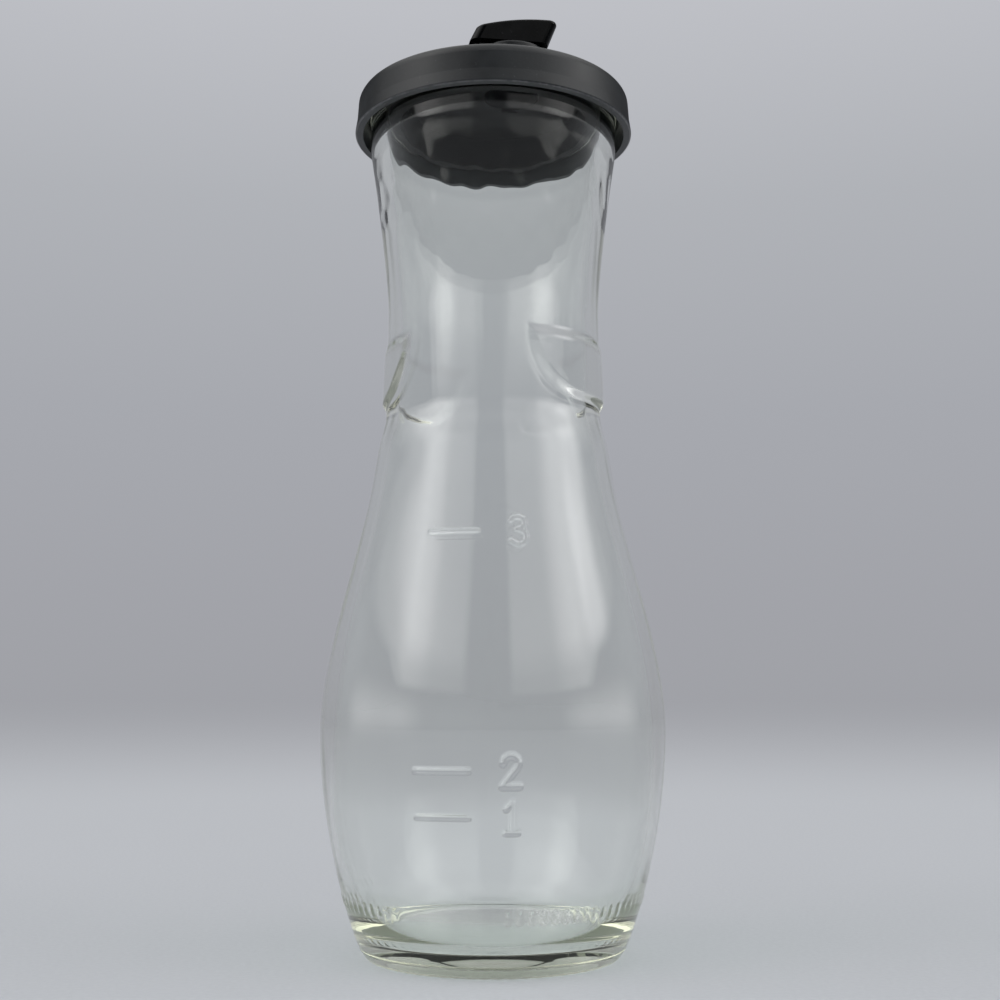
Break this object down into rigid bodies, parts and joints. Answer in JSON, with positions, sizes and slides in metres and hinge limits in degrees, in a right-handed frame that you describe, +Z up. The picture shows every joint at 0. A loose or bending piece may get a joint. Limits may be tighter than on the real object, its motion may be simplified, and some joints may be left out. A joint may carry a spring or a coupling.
{
  "type": "salad dressing shaker bottle",
  "caption": "Glass salad dressing shaker bottle with a waisted body, finger pads and fill lines, a press-in lid with a seal ring, and a hinged flip cap over its pouring spout.",
  "frame": {"origin": "centre of the bottle's foot, on the surface it stands on", "axes": "+Z up along the bottle's axis, +X towards the pouring side of the lid and the thumb lip of the flip cap, -Y towards the front, within 9 degrees of the picture's viewpoint"},
  "size_m": [0.0706, 0.0706, 0.1974],
  "materials": {
    "clear_glass": "clear pressed glass with a faint green tint where it is thick",
    "lid_plastic": "satin dark grey to black moulded plastic",
    "cap_plastic": "glossy black moulded plastic",
    "seal_rubber": "soft matt black rubber"
  },
  "bodies": {
    "glass": {"bottle": "clear_glass"},
    "lid_body": {"lid": "lid_plastic", "seal_ring": "seal_rubber"},
    "cap_body": {"flip_cap": "cap_plastic", "stopper": "seal_rubber"}
  },
  "joints": [
    {"name": "lid_lift", "type": "slide", "parent": "glass", "child": "lid_body", "axis": [0, 0, 1], "range_m": [0, 0.04]},
    {"name": "cap_hinge", "type": "hinge", "parent": "lid_body", "child": "cap_body", "pos_m": [-0.0067, 0, 0.1865], "axis": [0, -1, 0], "range_deg": [0, 120]}
  ]
}
